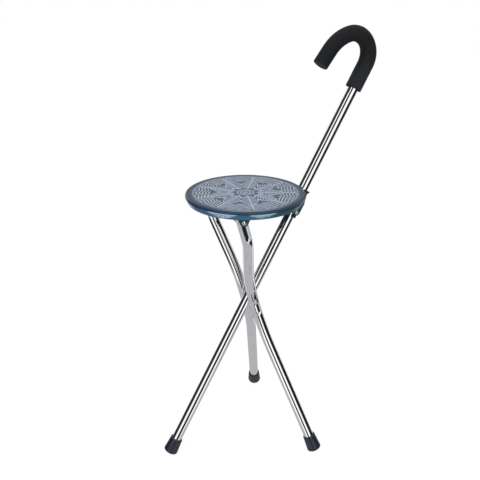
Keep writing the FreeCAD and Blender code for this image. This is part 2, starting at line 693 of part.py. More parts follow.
def build():
    """All sub-parts by node name, in the working frame."""
    nodes = {
        "cane_tube": make_cane_tube(),
        "handle_grip": make_handle_grip(),
        "handle_end_plug": make_handle_end_plug(),
        "cane_ferrule": make_ferrule(Vec(0, 0, 0), cane_dir),
        "cane_ferrule_washer": make_ferrule_washer(Vec(0, 0, 0), cane_dir),
        "hub_bolt": make_hub_bolt(),
        "hub_nut": make_hub_nut(),
        "hub_washers": make_hub_washers(),
        "hub_spacer_front": make_hub_spacer(front),
        "hub_spacer_rear": make_hub_spacer(rear),
        "seat_cover": make_seat_cover(),
        "seat_base": make_seat_base(),
        "seat_screws": make_seat_screws(),
        "cane_guide": make_cane_guide(),
        "guide_rivets": make_guide_rivets(),
    }
    for name, side in (("front", front), ("rear", rear)):
        direction, floor_point = leg_foot(side)[:2]
        nodes["leg_%s_tube" % name] = make_leg_tube(side)
        nodes["leg_%s_top_plug" % name] = make_leg_plug(side)
        nodes["leg_%s_ferrule" % name] = make_ferrule(floor_point, direction)
        nodes["leg_%s_ferrule_washer" % name] = make_ferrule_washer(floor_point, direction)
        nodes["leg_%s_rivet" % name] = make_leg_rivet(side)
        nodes["leg_%s_rivet_washers" % name] = make_leg_washers(side)
    return nodes


os.makedirs("parts", exist_ok=True)
stool = build()
boxes = [shape.optimalBoundingBox() for shape in stool.values()]
origin_shift = -(min(box.XMin for box in boxes) + max(box.XMax for box in boxes)) / 2
for node_name, node_shape in stool.items():
    save(node_shape, node_name)
lowest = min(box.ZMin for box in boxes)
print("nodes %d, origin shift %.3f, lowest point %.3f" % (len(stool), origin_shift, lowest))
for label, place in (("hub", hub), ("leg pins", leg_pin), ("guide pivot", guide_pivot)):
    print("%s x %.3f z %.3f" % (label, place.x + origin_shift, place.z))
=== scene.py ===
# The walking stick seat's looks: smooth tubes, foam, a moulded seat top and their finishes.
# Metres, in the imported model's frame: +Z up, the cane leans to +X, the legs spread along Y.
import json
import math

import bmesh
import bpy
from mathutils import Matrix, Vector


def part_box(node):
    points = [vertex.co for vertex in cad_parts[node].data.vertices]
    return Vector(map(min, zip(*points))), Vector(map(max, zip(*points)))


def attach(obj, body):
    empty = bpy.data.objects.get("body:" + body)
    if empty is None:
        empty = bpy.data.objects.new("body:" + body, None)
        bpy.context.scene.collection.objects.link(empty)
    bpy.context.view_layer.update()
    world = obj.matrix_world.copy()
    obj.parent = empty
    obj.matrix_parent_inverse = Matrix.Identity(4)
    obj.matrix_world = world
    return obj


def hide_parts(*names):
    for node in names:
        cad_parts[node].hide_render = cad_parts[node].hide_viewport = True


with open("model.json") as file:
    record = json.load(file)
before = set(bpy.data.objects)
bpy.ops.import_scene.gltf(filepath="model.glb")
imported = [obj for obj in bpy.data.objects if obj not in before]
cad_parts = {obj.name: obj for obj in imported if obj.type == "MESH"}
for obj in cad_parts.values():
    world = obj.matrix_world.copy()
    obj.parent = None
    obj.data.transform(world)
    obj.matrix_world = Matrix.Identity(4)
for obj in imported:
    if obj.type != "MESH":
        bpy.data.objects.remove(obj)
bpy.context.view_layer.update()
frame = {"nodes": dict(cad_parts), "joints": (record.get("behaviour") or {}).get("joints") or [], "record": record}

MM = 0.001
SIDES = {"front": -1, "rear": 1}   # which way along Y each leg stands out from the cane
ACROSS = Vector((0, 1, 0))

# Sizes of the real object, as in the construction
TUBE_R = 9.5 * MM
BORE_R = 8.3 * MM
CROOK_START = 827 * MM         # floor to the start of the crook, along the cane
CROOK_RADIUS = 35.5 * MM
CROOK_TURN = math.radians(131)
CROOK_TIP_RADIUS = 69 * MM
CROOK_TIP_TURN = math.radians(41)
CROOK_TAIL = 25 * MM
CANE_END = 14.4 * MM           # floor to the tube's end in its rubber foot, along the cane
LEG_END = 13.4 * MM            # the same for a leg
LEG_SPACING = 20.4 * MM
LOWER_FLARE = math.radians(21.84)
UPPER_FLARE = math.radians(24.4)
HUB_BEND_RADIUS = 200 * MM     # from the hub upwards
LOWER_BEND_RADIUS = 300 * MM   # from the hub downwards
TOP_BEND_RADIUS = 40 * MM
LEG_TOP_OFFSET = 68 * MM
LEG_ABOVE_PIN = 10.5 * MM
PRESS_HALF_WIDTH = 6.2 * MM
PRESS_BELOW_PIN = 38 * MM      # leg pin to the low end of the flat at the leg's top
TOP_FLAT = 6.5 * MM            # tube centreline to the flat at the leg's top
HUB_PRESS_HALF = 28 * MM
HUB_FLAT = 7.5 * MM
GRIP_R = 14.7 * MM
GRIP_TAIL = 45.5 * MM
GRIP_TIP = 29.2 * MM           # end of the crook's bends to the foam's closed end
GRIP_END_WALL = 3 * MM

# Forms that the construction has plainer or not at all
PRESS_SLOPE = 2.4 * MM         # width of the sloping wall round a pressed flat
PRESS_MARGIN = 1 * MM          # how far below the top's flat its shape takes over from the hub's
PRESS_DISH = 0.35 * MM         # how far the middle of the top's flat is hollow
HUB_CROWN = 1.1 * MM           # how far the middle of the hub's flat stands above its edges
GRIP_STRETCH = 1.1 * MM        # how much thinner the foam is over the crook's top and at its tip
STRETCH_FROM = math.radians(10)    # turn of the crook where the foam starts to thin
STRETCH_TO = math.radians(80)      # and where it has thinned
GRIP_GROOVE = 3.0 * MM         # depth of the groove round the foam's open end
TIP_EDGE = 1.2 * MM            # how far the foam's closed end is rounded

# How finely the tubes and the foam are made: sides of a ring, and steps between rings
CANE_SIDES = 96
LEG_SIDES = 112
GRIP_SIDES = 72
LONG_STEP = 20 * MM            # straight tube below the bends
CROOK_STEP = 1.5 * MM
TAIL_STEP = 4 * MM
LEG_BEND_STEP = 1.0 * MM
LEG_STEP = 5 * MM              # straight leg between its upper bends
LEG_TOP_STEP = 0.8 * MM
GROOVE_STEP = math.radians(18)
TIP_STEP = math.radians(7.5)
TIP_SHARES = (0.75, 0.5, 0.25)     # rings on the foam's end face, as shares of its radius

# Camera, found by fitting the stool to the photograph
CAMERA_FROM_HUB = Vector((-0.43632, -0.80631, 0.51583))
CAMERA_TURN = math.radians(27.4)    # from +Y towards +X
CAMERA_DROP = math.radians(23.634)  # below level
CAMERA_LENS = 41.47                 # mm
CAMERA_SENSOR = 36.0                # mm, the sensor's width


def joint_place(name):
    """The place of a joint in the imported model."""
    found = [joint for joint in frame["joints"] if joint["name"] == name]
    return Vector(found[0]["pos_m"])


hub = joint_place("fold")
leg_pin = joint_place("seat_fold")
guide_pivot = joint_place("guide_swivel")
hub.y = leg_pin.y = guide_pivot.y = 0   # the middle plane
cane_dir = (guide_pivot - hub).normalized()
cane_side = Vector((cane_dir.z, 0, -cane_dir.x))
cane_foot = hub - cane_dir * (hub.z / cane_dir.z)
crook_place = cane_foot + cane_dir * CROOK_START
leg_up = (leg_pin - hub).normalized()
leg_across = Vector((leg_up.z, 0, -leg_up.x))
pin_reach = (leg_pin - hub).length


# Mesh tools

def new_piece(name, points, faces, smooth_angle=40):
    """A mesh object with its edges sharp only where faces meet at more than smooth_angle."""
    mesh = bpy.data.meshes.new(name)
    mesh.from_pydata([tuple(p) for p in points], [], faces)
    mesh.validate()
    build = bmesh.new()
    build.from_mesh(mesh)
    bmesh.ops.recalc_face_normals(build, faces=build.faces)
    build.to_mesh(mesh)
    build.free()
    mesh.polygons.foreach_set("use_smooth", [True] * len(mesh.polygons))
    mesh.set_sharp_from_angle(angle=math.radians(smooth_angle))
    piece = bpy.data.objects.new(name, mesh)
    bpy.context.scene.collection.objects.link(piece)
    return piece


def loft(name, rings, closed_loop=False, smooth_angle=40):
    """Join rings of equally many points; the ends are closed by a fan unless the rings form a loop."""
    count = len(rings[0])
    points = [point for ring in rings for point in ring]
    faces = []
    pairs = len(rings) if closed_loop else len(rings) - 1
    for i in range(pairs):
        a, b = i * count, (i + 1) % len(rings) * count
        for k in range(count):
            n = (k + 1) % count
            faces.append((a + k, a + n, b + n, b + k))
    if not closed_loop:
        for ring_start in (0, (len(rings) - 1) * count):
            ring = points[ring_start:ring_start + count]
            points.append(sum((Vector(p) for p in ring), Vector()) / count)
            middle = len(points) - 1
            for k in range(count):
                faces.append((middle, ring_start + k, ring_start + (k + 1) % count))
    return new_piece(name, points, faces, smooth_angle)


def spaced(start, end, step):
    """Evenly spaced values from start to end, at most step apart."""
    count = max(1, math.ceil(abs(end - start) / step - 1e-6))
    return [start + (end - start) * i / count for i in range(count + 1)]


def smooth_step(value, low, high):
    """0 up to low and 1 from high on, with a smooth rise between them."""
    t = min(1.0, max(0.0, (value - low) / (high - low)))
    return t * t * (3 - 2 * t)


# Tubes

def straight(start, end, out, step):
    """Stations along a straight run: the centre and the direction out, in the plane of the bends."""
    length = (end - start).length
    return [(start.lerp(end, s / length), out) for s in spaced(0, length, step)]


def bend(centre, radius, first, last, start, end, step):
    """Stations along an arc from angle start to end, where first and last are the plane's axes."""
    stations = []
    for turn in spaced(start, end, step / radius):
        out = first * math.cos(turn) + last * math.sin(turn)
        stations.append((centre + out * radius, out))
    return stations


def section(station, across, radius, sides, press=None):
    """One ring of a tube; press moves the points of a pressed flat inwards."""
    centre, out = station
    ring = []
    for k in range(sides):
        turn = 2 * math.pi * k / sides
        depth, sideways = radius * math.cos(turn), radius * math.sin(turn)
        if press:
            depth = press(centre, out, depth, sideways)
        ring.append(centre + out * depth + across * sideways)
    return ring


def make_cane_stations(start, tail):
    """The cane from a reach above the floor, round the crook's tight and open bends, to its tail."""
    tight_centre = crook_place - cane_side * CROOK_RADIUS
    stations = straight(cane_foot + cane_dir * start, crook_place, cane_side, LONG_STEP)
    stations += bend(tight_centre, CROOK_RADIUS, cane_side, cane_dir, 0, CROOK_TURN, CROOK_STEP)[1:]
    change, out = stations[-1]
    open_centre = change - out * CROOK_TIP_RADIUS
    whole = CROOK_TURN + CROOK_TIP_TURN
    open_bend = bend(open_centre, CROOK_TIP_RADIUS, cane_side, cane_dir, CROOK_TURN, whole, CROOK_STEP)
    stations += open_bend[1:]
    over, out = stations[-1]
    heading = cane_dir * math.cos(whole) - cane_side * math.sin(whole)
    stations += straight(over, over + heading * tail, out, TAIL_STEP)[1:]
    return stations


def make_cane_tube():
    """The cane's tube, hollow and open at both ends."""
    stations = make_cane_stations(CANE_END, CROOK_TAIL)
    rings = [section(s, ACROSS, TUBE_R, CANE_SIDES) for s in stations]
    rings += [section(s, ACROSS, BORE_R, CANE_SIDES) for s in reversed(stations)]
    return loft("cane_tube_chrome", rings, closed_loop=True)


def make_grip():
    """One foam sleeve over the crook, closed at its tip and hollow just beyond the tube's end."""
    start = CROOK_START - GRIP_TAIL
    outer = make_cane_stations(start, GRIP_TIP)
    inner = make_cane_stations(start, GRIP_TIP - GRIP_END_WALL)
    (first, first_out), (last, last_out) = outer[0], outer[-1]
    ahead = (outer[1][0] - first).normalized()
    behind = (outer[-2][0] - last).normalized()
    rings = [section(s, ACROSS, TUBE_R, GRIP_SIDES) for s in reversed(inner)]

    # The groove's outer wall, a cone that ends in the sleeve's sharp edge
    for turn in spaced(0, math.pi / 2, GROOVE_STEP):
        inset = GRIP_GROOVE * (1 - math.sin(turn))
        rings.append(section((first + ahead * inset, first_out), ACROSS, GRIP_R - inset, GRIP_SIDES))

    for centre, out in outer:
        if (centre - first).length > GRIP_GROOVE and (centre - last).length > TIP_EDGE:
            thinned = GRIP_STRETCH * smooth_step(out.angle(cane_side), STRETCH_FROM, STRETCH_TO)
            rings.append(section((centre, out), ACROSS, GRIP_R - thinned, GRIP_SIDES))

    # The rounded edge and the flat face of the closed end
    tip_r = GRIP_R - GRIP_STRETCH
    for turn in spaced(math.pi / 2, 0, TIP_STEP):
        centre = last + behind * TIP_EDGE * (1 - math.cos(turn))
        radius = tip_r - TIP_EDGE * (1 - math.sin(turn))
        rings.append(section((centre, last_out), ACROSS, radius, GRIP_SIDES))
    for share in TIP_SHARES:
        rings.append(section((last, last_out), ACROSS, (tip_r - TIP_EDGE) * share, GRIP_SIDES))
    return loft("handle_grip_foam", rings)


def leg_place(along, out, side):
    """A place by its reach from the hub along the leg and its distance from the middle plane."""
    return hub + leg_up * along + Vector((0, side * out, 0))


def press_leg(floor_shift):
    """The pressed flats of a leg: how deep a point of a section lies after pressing."""
    top_low = pin_reach - PRESS_BELOW_PIN + PRESS_HALF_WIDTH
    top_from = top_low - PRESS_HALF_WIDTH - PRESS_MARGIN
    hub_reach = HUB_PRESS_HALF - PRESS_HALF_WIDTH

    def pressed(centre, out, depth, sideways):
        """The depth of a point after pressing, outwards from the centreline."""
        along = (centre + out * depth - hub).dot(leg_up)
        at_top = along > top_from
        beyond = min(0.0, along - top_low) if at_top else max(0.0, abs(along) - hub_reach)
        inside = PRESS_HALF_WIDTH - math.hypot(beyond, sideways)
        if inside <= 0 or depth <= 0:
            return depth
        if at_top:
            floor = TOP_FLAT - PRESS_DISH * smooth_step(inside, 0, PRESS_HALF_WIDTH)
        else:
            floor = HUB_FLAT - HUB_CROWN * (sideways / PRESS_HALF_WIDTH) ** 2
        floor -= floor_shift
        return depth - max(0.0, depth - floor) * smooth_step(inside, 0, PRESS_SLOPE)

    return pressed


def make_leg_stations(side):
    """A leg from its foot, through the bends at the hub and near the seat, to its top."""
    out = Vector((0, side, 0))
    lower = leg_up * math.cos(LOWER_FLARE) - out * math.sin(LOWER_FLARE)
    low_out = LEG_SPACING + LOWER_BEND_RADIUS * (1 - math.cos(LOWER_FLARE))
    low = leg_place(-LOWER_BEND_RADIUS * math.sin(LOWER_FLARE), low_out, side)
    foot = low - lower * (low.z / lower.z)
    high_out = LEG_SPACING + HUB_BEND_RADIUS * (1 - math.cos(UPPER_FLARE))
    high_along = HUB_BEND_RADIUS * math.sin(UPPER_FLARE)
    corner = high_along + (LEG_TOP_OFFSET - high_out) / math.tan(UPPER_FLARE)
    tangent = TOP_BEND_RADIUS * math.tan(UPPER_FLARE / 2)
    high = leg_place(high_along, high_out, side)
    entry_out = LEG_TOP_OFFSET - tangent * math.sin(UPPER_FLARE)
    entry = leg_place(corner - tangent * math.cos(UPPER_FLARE), entry_out, side)
    leave = leg_place(corner + tangent, LEG_TOP_OFFSET, side)
    top = leg_place(pin_reach + LEG_ABOVE_PIN, LEG_TOP_OFFSET, side)
    low_centre = leg_place(0, LEG_SPACING + LOWER_BEND_RADIUS, side)
    high_centre = leg_place(0, LEG_SPACING + HUB_BEND_RADIUS, side)
    top_centre = leg_place(corner + tangent, LEG_TOP_OFFSET - TOP_BEND_RADIUS, side)

    lower_out = out * math.cos(LOWER_FLARE) + leg_up * math.sin(LOWER_FLARE)
    upper_out = out * math.cos(UPPER_FLARE) - leg_up * math.sin(UPPER_FLARE)
    stations = straight(foot + lower * LEG_END, low, lower_out, LONG_STEP)
    arc = bend(low_centre, LOWER_BEND_RADIUS, -out, leg_up, -LOWER_FLARE, 0, LEG_BEND_STEP)
    arc += bend(high_centre, HUB_BEND_RADIUS, -out, leg_up, 0, UPPER_FLARE, LEG_BEND_STEP)[1:]
    stations += [(place, -toward) for place, toward in arc[1:]]
    stations += straight(high, entry, upper_out, LEG_STEP)[1:]
    stations += bend(top_centre, TOP_BEND_RADIUS, out, leg_up, -UPPER_FLARE, 0, LEG_BEND_STEP)[1:]
    stations += straight(leave, top, out, LEG_TOP_STEP)[1:]
    return stations


def make_leg_tube(name, side):
    """A leg's tube, hollow and open at both ends, with its two pressed flats on the outside."""
    stations = make_leg_stations(side)
    outside, inside = press_leg(0), press_leg(TUBE_R - BORE_R)
    rings = [section(s, leg_across, TUBE_R, LEG_SIDES, outside) for s in stations]
    rings += [section(s, leg_across, BORE_R, LEG_SIDES, inside) for s in reversed(stations)]
    return loft("leg_%s_chrome" % name, rings, closed_loop=True)


# Seat top

SEAT_LOW, SEAT_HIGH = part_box("seat_cover")
SEAT_MIDDLE = (SEAT_LOW + SEAT_HIGH) / 2
SEAT_R = (SEAT_HIGH.x - SEAT_LOW.x) / 2
SEAT_TOP = SEAT_HIGH.z
RIM_WIDTH = 13 * MM            # raised rim round the panel
PANEL_R = SEAT_R - RIM_WIDTH
PANEL_DROP = 1.0 * MM          # rim's top to the panel
COVER_SIDE = 5.6 * MM          # depth of the cover's lower edge below the rim's top
COVER_UNDER = 4.2 * MM         # depth of its underside
COVER_LIP = 2.6 * MM           # thickness of the wall between the two
SHOULDER_WIDTH = 5.2 * MM      # the rim's rounded shoulder
SHOULDER_DROP = 4.0 * MM
LOWER_EDGE_IN = 0.3 * MM       # the small slope at the cover's lower edge
LOWER_EDGE_UP = 0.4 * MM

# The soft step from the panel up to the rim: mm outwards from the panel's edge, share of the drop
RIM_STEP = ((-1.6, 1.0), (-0.9, 0.95), (-0.3, 0.5), (0.3, 0.45), (1.0, 0.25), (2.5, 0.1), (5.0, 0.0))

# The panel's moulded design: rings, petals with ribs, and waved lines round the outside
RIDGE_HEIGHT = 0.40 * MM
RIDGE_WIDTH = 1.5 * MM             # about its width at half its height
RIDGE_TOP = 0.15                   # half the width of a ridge's flat top, as a share of RIDGE_WIDTH
RIDGE_FOOT = 0.75                  # and half the width of its foot
RIDGE_PITCH = 5.6 * MM
DISC_R = 19 * MM
DISC_PETAL_SHARE = 0.35            # how much of the petals' colour the middle disc has
PETALS = 9
PETAL_TURN = 0.2                   # radians from +X to the first petal
PETAL_START = 22 * MM
PETAL_END = 66 * MM
PETAL_HALF = 14.5 * MM
PETAL_WIDEST = 0.8                 # below 1, the widest place moves towards the middle disc
PETAL_FULLNESS = 0.8               # below 1, the ends are fuller
PETAL_EDGE = 1.5 * MM
RIB_SLANT = 0.9
RIB_SHARE = 0.85                   # height of a rib as a share of a ridge's
WAVES_START = 61 * MM
WAVE_HEIGHT = 2.2 * MM
PLAIN_EDGE = 2.8 * MM              # the design ends this far inside the panel's edge
DESIGN_FADE = 2 * MM

# How finely the cover is made: points of a ring, and where the rings lie
SEAT_AROUND = 640
PANEL_FIRST = 0.6 * MM
PANEL_LAST = PANEL_R - 2.4 * MM
PANEL_STEP = 0.75 * MM
SHOULDER_STEP = math.radians(9)
UNDERSIDE_RADII = (70 * MM, 40 * MM, 4 * MM)


def ridge_across(away):
    """Height share of a ridge at a distance from its middle line."""
    return 1 - smooth_step(abs(away), RIDGE_WIDTH * RIDGE_TOP, RIDGE_WIDTH * RIDGE_FOOT)


def comb_away(value, pitch):
    """Distance to the nearest of evenly spaced lines."""
    return (value + pitch / 2) % pitch - pitch / 2


def design(x, y):
    """Ridge share and petal share at a place on the panel, each from 0 to 1."""
    radius, turn = math.hypot(x, y), math.atan2(y, x)
    if radius < DISC_R:
        return ridge_across(comb_away(radius - RIDGE_PITCH / 2, RIDGE_PITCH)), DISC_PETAL_SHARE
    off = comb_away(turn - PETAL_TURN, 2 * math.pi / PETALS)
    along, aside = radius * math.cos(off), abs(radius * math.sin(off))
    reach = min(1.0, max(0.0, (along - PETAL_START) / (PETAL_END - PETAL_START)))
    half = 0.0
    if 0 < reach < 1:
        half = PETAL_HALF * math.sin(math.pi * reach ** PETAL_WIDEST) ** PETAL_FULLNESS
    inside = half - aside
    outline = ridge_across(inside)
    if inside > 0:
        ribs = ridge_across(comb_away(along - RIB_SLANT * aside, RIDGE_PITCH))
        ribs = max(ribs, ridge_across(aside)) * smooth_step(inside, PETAL_EDGE, 2 * PETAL_EDGE)
        return max(RIB_SHARE * ribs, outline), smooth_step(inside, 0, PETAL_EDGE)
    if radius > WAVES_START:
        waved = radius + WAVE_HEIGHT * math.sin(2 * PETALS * turn)
        return max(ridge_across(comb_away(waved, RIDGE_PITCH)), outline), 0.0
    return outline, 0.0


def seat_profile():
    """(radius, depth below the rim's top) round the cover, from the panel's edge to its underside."""
    outline = [(PANEL_R + out * MM, share * PANEL_DROP) for out, share in RIM_STEP]
    for turn in spaced(0, math.pi / 2, SHOULDER_STEP):
        radius = SEAT_R - SHOULDER_WIDTH + SHOULDER_WIDTH * math.sin(turn)
        outline.append((radius, SHOULDER_DROP * (1 - math.cos(turn))))
    outline += [(SEAT_R, COVER_SIDE - LOWER_EDGE_UP), (SEAT_R - LOWER_EDGE_IN, COVER_SIDE)]
    outline += [(SEAT_R - COVER_LIP, COVER_SIDE), (SEAT_R - COVER_LIP, COVER_UNDER)]
    outline += [(radius, COVER_UNDER) for radius in UNDERSIDE_RADII]
    return outline


def seat_ring(radius, depth, marks=None):
    """One ring of the cover; marks collects the design's shares where the ring lies on the panel."""
    ring = []
    for k in range(SEAT_AROUND):
        turn = 2 * math.pi * k / SEAT_AROUND
        x, y = radius * math.cos(turn), radius * math.sin(turn)
        lift = 0.0
        if marks is not None:
            fade = smooth_step(PANEL_R - PLAIN_EDGE - radius, 0, DESIGN_FADE)
            ridge, petal = design(x, y)
            marks.append((ridge * fade, petal))
            lift = RIDGE_HEIGHT * ridge * fade
        ring.append((SEAT_MIDDLE.x + x, SEAT_MIDDLE.y + y, SEAT_TOP - depth + lift))
    return ring


def make_seat_top():
    """The cover with its raised design; the shares of ridge and petal colour are kept on its points."""
    marks = []
    rings = [seat_ring(r, PANEL_DROP, marks) for r in spaced(PANEL_FIRST, PANEL_LAST, PANEL_STEP)]
    rings += [seat_ring(r, depth) for r, depth in seat_profile()]
    piece = loft("seat_cover_moulded", rings, smooth_angle=50)
    for which, name in enumerate(("ridge", "petal")):
        shares = [mark[which] for mark in marks]
        shares += [0.0] * (len(piece.data.vertices) - len(shares))
        piece.data.attributes.new(name, "FLOAT", "POINT").data.foreach_set("value", shares)
    return piece


# Material tools

def feed(tree, value, socket):
    """Give an input what it needs: a link from a socket, a colour or a number."""
    if isinstance(value, bpy.types.NodeSocket):
        tree.links.new(value, socket)
    elif isinstance(value, tuple) and len(value) == 3 and socket.type == "RGBA":
        socket.default_value = value + (1,)
    else:
        socket.default_value = value


def mix_colour(tree, factor, first, second):
    """A colour mix; each input is a socket or a value."""
    node = tree.nodes.new("ShaderNodeMix")
    node.data_type = "RGBA"
    feed(tree, factor, node.inputs[0])
    feed(tree, first, node.inputs[6])
    feed(tree, second, node.inputs[7])
    return node.outputs[2]


def math_node(tree, operation, *values):
    """One step of arithmetic; each value is a socket or a number."""
    node = tree.nodes.new("ShaderNodeMath")
    node.operation = operation
    for value, socket in zip(values, node.inputs):
        feed(tree, value, socket)
    return node.outputs[0]


def axes(tree, place):
    """The X, Y and Z of a place or a direction."""
    node = tree.nodes.new("ShaderNodeSeparateXYZ")
    tree.links.new(place, node.inputs[0])
    return node.outputs


def noise(tree, place, scale, detail):
    """Cloudy noise; scale is about its swells per metre."""
    node = tree.nodes.new("ShaderNodeTexNoise")
    node.inputs["Scale"].default_value = scale
    node.inputs["Detail"].default_value = detail
    node.inputs["Roughness"].default_value = 0.55
    tree.links.new(place, node.inputs["Vector"])
    return node.outputs["Fac"]


def spread(tree, value, low, high, to_low=0.0, to_high=1.0):
    """Map a value's range to another, smoothly and within bounds."""
    node = tree.nodes.new("ShaderNodeMapRange")
    node.interpolation_type = "SMOOTHSTEP"
    feed(tree, value, node.inputs["Value"])
    for name, number in (("From Min", low), ("From Max", high), ("To Min", to_low), ("To Max", to_high)):
        node.inputs[name].default_value = number
    return node.outputs["Result"]


def bump(tree, height, distance, strength=1.0, normal=None):
    """Small unevenness of the surface; normal is what it adds to."""
    node = tree.nodes.new("ShaderNodeBump")
    node.inputs["Distance"].default_value = distance
    node.inputs["Strength"].default_value = strength
    tree.links.new(height, node.inputs["Height"])
    if normal:
        tree.links.new(normal, node.inputs["Normal"])
    return node.outputs["Normal"]


def rounded_edges(tree, radius):
    """A surface direction that makes edges look rounded."""
    node = tree.nodes.new("ShaderNodeBevel")
    node.samples = 6
    node.inputs["Radius"].default_value = radius
    return node.outputs["Normal"]


def new_material(name, **settings):
    """A Principled material; returns it, its node tree, its shader and the place in metres."""
    material = bpy.data.materials.new(name)
    material.use_nodes = True
    tree = material.node_tree
    shader = tree.nodes["Principled BSDF"]
    for socket, value in settings.items():
        feed(tree, value, shader.inputs[socket.replace("_", " ")])
    place = tree.nodes.new("ShaderNodeTexCoord").outputs["Object"]
    return material, tree, shader, place


def finish(tree, shader, tint, rough, normal=None):
    """Link what varies over the surface to its shader."""
    tree.links.new(tint, shader.inputs["Base Color"])
    tree.links.new(rough, shader.inputs["Roughness"])
    if normal:
        tree.links.new(normal, shader.inputs["Normal"])


# Materials

def make_chrome():
    """Polished chrome, faintly smeared and not quite even."""
    material, tree, shader, place = new_material("chrome", Metallic=1.0, IOR=2.0)
    smear = noise(tree, place, 60, 4)
    tint = mix_colour(tree, spread(tree, smear, 0.3, 0.75), (0.92, 0.925, 0.94), (0.87, 0.88, 0.90))
    rough = spread(tree, smear, 0.35, 0.8, 0.02, 0.05)
    finish(tree, shader, tint, rough, bump(tree, noise(tree, place, 45, 2), 0.06 * MM))
    return material


def make_bright_hardware():
    """Plated bolt, nut, rivets and washers, a little worn."""
    material, tree, shader, place = new_material("bright_hardware", Metallic=1.0)
    wear = noise(tree, place, 400, 3)
    tint = mix_colour(tree, spread(tree, wear, 0.3, 0.7), (0.88, 0.88, 0.89), (0.70, 0.70, 0.69))
    rough = spread(tree, wear, 0.3, 0.7, 0.10, 0.24)
    finish(tree, shader, tint, rough, bump(tree, wear, 0.05 * MM, normal=rounded_edges(tree, 0.4 * MM)))
    return material


def make_zinc():
    """Dull zinc with a fine crystal pattern."""
    material, tree, shader, place = new_material("zinc_steel", Metallic=1.0)
    crystal = noise(tree, place, 260, 5)
    tint = mix_colour(tree, crystal, (0.50, 0.51, 0.52), (0.68, 0.68, 0.66))
    finish(tree, shader, tint, spread(tree, crystal, 0.3, 0.7, 0.30, 0.48))
    return material


# Painted light: the foam is painted paler low down.
FOAM_PAINTED_LIGHT_HEIGHTS = (-25 * MM, 20 * MM)   # heights from the crook's start, between which the foam pales


def make_foam():
    """Smooth skinned foam: nearly black, a little paler low down as painted light, with the finest of cells."""
    material, tree, shader, place = new_material(
        "foam_grip", Specular_IOR_Level=0.25, Sheen_Weight=0.02, Sheen_Roughness=0.5)
    cells = tree.nodes.new("ShaderNodeTexVoronoi")
    cells.inputs["Scale"].default_value = 1500
    tree.links.new(place, cells.inputs["Vector"])
    broad = noise(tree, place, 22, 2)
    fine = noise(tree, place, 1100, 2)
    skin = spread(tree, broad, 0.35, 0.65)
    tint = mix_colour(tree, skin, (0.0050, 0.0058, 0.0076), (0.0094, 0.0100, 0.0116))
    tint = mix_colour(tree, spread(tree, fine, 0.50, 0.80), tint, (0.011, 0.0115, 0.013))
    # Painted light: the base colour is paler towards the bottom of the crook.
    low, high = (crook_place.z + rise for rise in FOAM_PAINTED_LIGHT_HEIGHTS)
    lower = spread(tree, axes(tree, place)["Z"], low, high, 0.75, 0.0)
    tint = mix_colour(tree, lower, tint, (0.017, 0.0185, 0.022))
    rough = spread(tree, broad, 0.3, 0.7, 0.66, 0.80)
    finish(tree, shader, tint, rough, bump(tree, cells.outputs["Distance"], 0.08 * MM, 0.4))
    return material


def make_rubber():
    """Black-blue rubber with a trace of dust."""
    material, tree, shader, place = new_material("rubber_foot")
    broad = noise(tree, place, 120, 3)
    dust = spread(tree, noise(tree, place, 500, 4), 0.55, 0.8)
    tint = mix_colour(tree, broad, (0.0085, 0.0115, 0.0215), (0.0145, 0.0185, 0.034))
    tint = mix_colour(tree, math_node(tree, "MULTIPLY", dust, 0.18), tint, (0.046, 0.05, 0.066))
    rough = spread(tree, broad, 0.3, 0.7, 0.32, 0.44)
    grain = noise(tree, place, 1400, 2)
    finish(tree, shader, tint, rough, bump(tree, grain, 0.04 * MM, normal=rounded_edges(tree, 0.6 * MM)))
    return material


def make_black_plastic():
    """Black plastic with a fine grain."""
    material, tree, shader, place = new_material("black_plastic")
    grain = noise(tree, place, 900, 3)
    tint = mix_colour(tree, grain, (0.008, 0.008, 0.009), (0.016, 0.016, 0.017))
    rough = spread(tree, grain, 0.3, 0.7, 0.32, 0.46)
    finish(tree, shader, tint, rough, bump(tree, grain, 0.05 * MM, normal=rounded_edges(tree, 0.5 * MM)))
    return material


def make_nylon():
    """Undyed nylon, faintly cloudy."""
    material, tree, shader, place = new_material("natural_nylon")
    cloud = noise(tree, place, 300, 3)
    tint = mix_colour(tree, cloud, (0.66, 0.66, 0.61), (0.76, 0.76, 0.72))
    finish(tree, shader, tint, spread(tree, cloud, 0.3, 0.7, 0.35, 0.5))
    return material


# Where the seat's colours change. Directions go from its middle, in degrees from +X towards +Y.
RIGHT_AT = -62
RIGHT_END_AT = -22
LEFT_END_AT = 180
# Middle of a painted reflection on the rim's crown
PAINTED_REFLECTION_AT = -112
# The clear side's painted shade and painted light: direction, start and end as shares of the radius, colour
SIDE_PAINTED_LIGHT_AND_SHADE = (
    (RIGHT_AT, 0.66, 0.98, (0.016, 0.044, 0.066)),
    (RIGHT_END_AT, 0.93, 0.985, (0.040, 0.200, 0.250)),
    (LEFT_END_AT, 0.93, 0.985, (0.026, 0.052, 0.100)),
)
# Painted glows, where the clear side is painted full of light: the direction, and how far it reaches either way
PAINTED_GLOWS = ((-139.5, 15), (-102, 13))
GLOW_SHARES = (1.05, 0.7)          # of that reach: where a glow starts, and where it is whole
# Depths below the seat's top, and radii, between which one colour changes to the next
SHOULDER_DEPTHS = (3.4 * MM, 4.6 * MM)
# The next two: depths of painted highlight lines on the side
UPPER_HIGHLIGHT_DEPTHS = (5.8 * MM, 7.0 * MM)
HEM_HIGHLIGHT_DEPTHS = (8.6 * MM, 11 * MM)
LUG_DEPTHS = (15 * MM, 18 * MM)
BORDER_RADII = (PANEL_R - 3.6 * MM, PANEL_R - 2.4 * MM)
RIM_RADII = (PANEL_R - 1 * MM, PANEL_R + 2 * MM)
OUTSIDE_RADII = (SEAT_R - 7 * MM, SEAT_R - 3.5 * MM)
